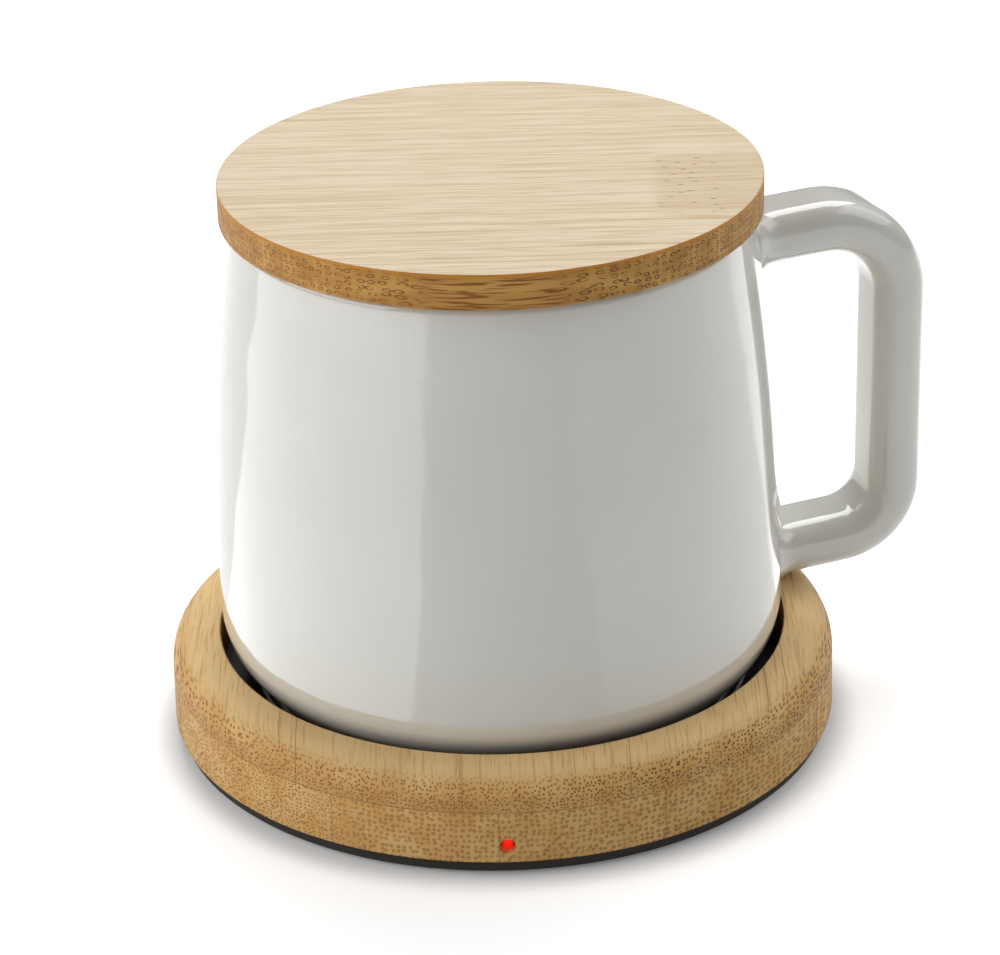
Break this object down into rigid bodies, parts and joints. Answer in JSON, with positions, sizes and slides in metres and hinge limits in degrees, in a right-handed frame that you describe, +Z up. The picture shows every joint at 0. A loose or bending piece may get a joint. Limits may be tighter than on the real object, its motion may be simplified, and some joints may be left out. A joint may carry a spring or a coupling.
{
  "type": "electric mug warmer",
  "caption": "Round bamboo base with a sinking electric heating plate, carrying a white glazed mug with a squared handle and a flat bamboo lid.",
  "frame": {"origin": "on the base's turning axis, at the surface that the feet stand on", "axes": "+Z up; the lamp faces -Y and the lead entry faces +Y; the mug's handle points to +X, turned 16 degrees towards +Y"},
  "size_m": [0.1376, 0.1215, 0.1046],
  "materials": {
    "bamboo": "satin oiled bamboo",
    "bamboo_lid": "satin oiled bamboo",
    "glaze": "glossy white glaze",
    "black_plastic": "fine matt moulding",
    "frame_plastic": "fine matt moulding",
    "rubber": "matt",
    "silicone": "translucent silicone",
    "plate_metal": "satin anodised",
    "steel": "plated",
    "heater": "dull",
    "mica": "matt sheet",
    "board": "satin solder mask",
    "component_dark": "matt epoxy",
    "component_pale": "lacquered",
    "component_blue": "glossy sleeve",
    "terminal_green": "moulded",
    "wire_red": "insulated wire",
    "wire_white": "glass sleeve",
    "led_red": "lit lens"
  },
  "bodies": {
    "base": {"bamboo_base": "bamboo", "bottom_cover": "black_plastic", "rubber_feet": "rubber", "cover_screws": "steel", "plate_frame": "frame_plastic", "plate_seal": "silicone", "circuit_board": "board", "board_screws": "steel", "micro_switch": "component_dark", "relay": "component_dark", "control_chip": "component_dark", "capacitor": "component_blue", "resistors": "component_pale", "terminal_block": "terminal_green", "supply_wires": "wire_red", "red_led": "led_red", "led_leads": "steel", "cord_gland": "rubber", "cord_clamp": "black_plastic", "cord_clamp_screws": "steel"},
    "plate": {"heating_plate": "plate_metal", "guide_screws": "steel", "heater_element": "heater", "heater_pad": "mica", "heater_clamp": "steel", "clamp_screws": "steel", "thermostat": "steel", "thermal_fuse": "component_pale", "heater_leads": "wire_white", "return_springs": "steel"},
    "plunger": {"switch_plunger": "component_pale"},
    "mug": {"mug": "glaze"},
    "lid": {"lid": "bamboo_lid", "lid_seal": "silicone"}
  },
  "joints": [
    {"name": "plate_slide", "type": "slide", "parent": "base", "child": "plate", "axis": [0, 0, 1], "range_m": [0, 0.001], "stiffness_N_per_m": 900, "springref_m": 0.0018, "deforming": ["return_springs"]},
    {"name": "plunger_slide", "type": "slide", "parent": "base", "child": "plunger", "axis": [0, 0, 1], "range_m": [0, 0.001]},
    {"name": "mug_lift", "type": "slide", "parent": "plate", "child": "mug", "axis": [0, 0, 1], "range_m": [0, 0.06]},
    {"name": "lid_lift", "type": "slide", "parent": "mug", "child": "lid", "axis": [0, 0, 1], "range_m": [0, 0.04]}
  ],
  "couplings": [
    {"joint": "plunger_slide", "follows": "plate_slide", "ratio": 1}
  ]
}
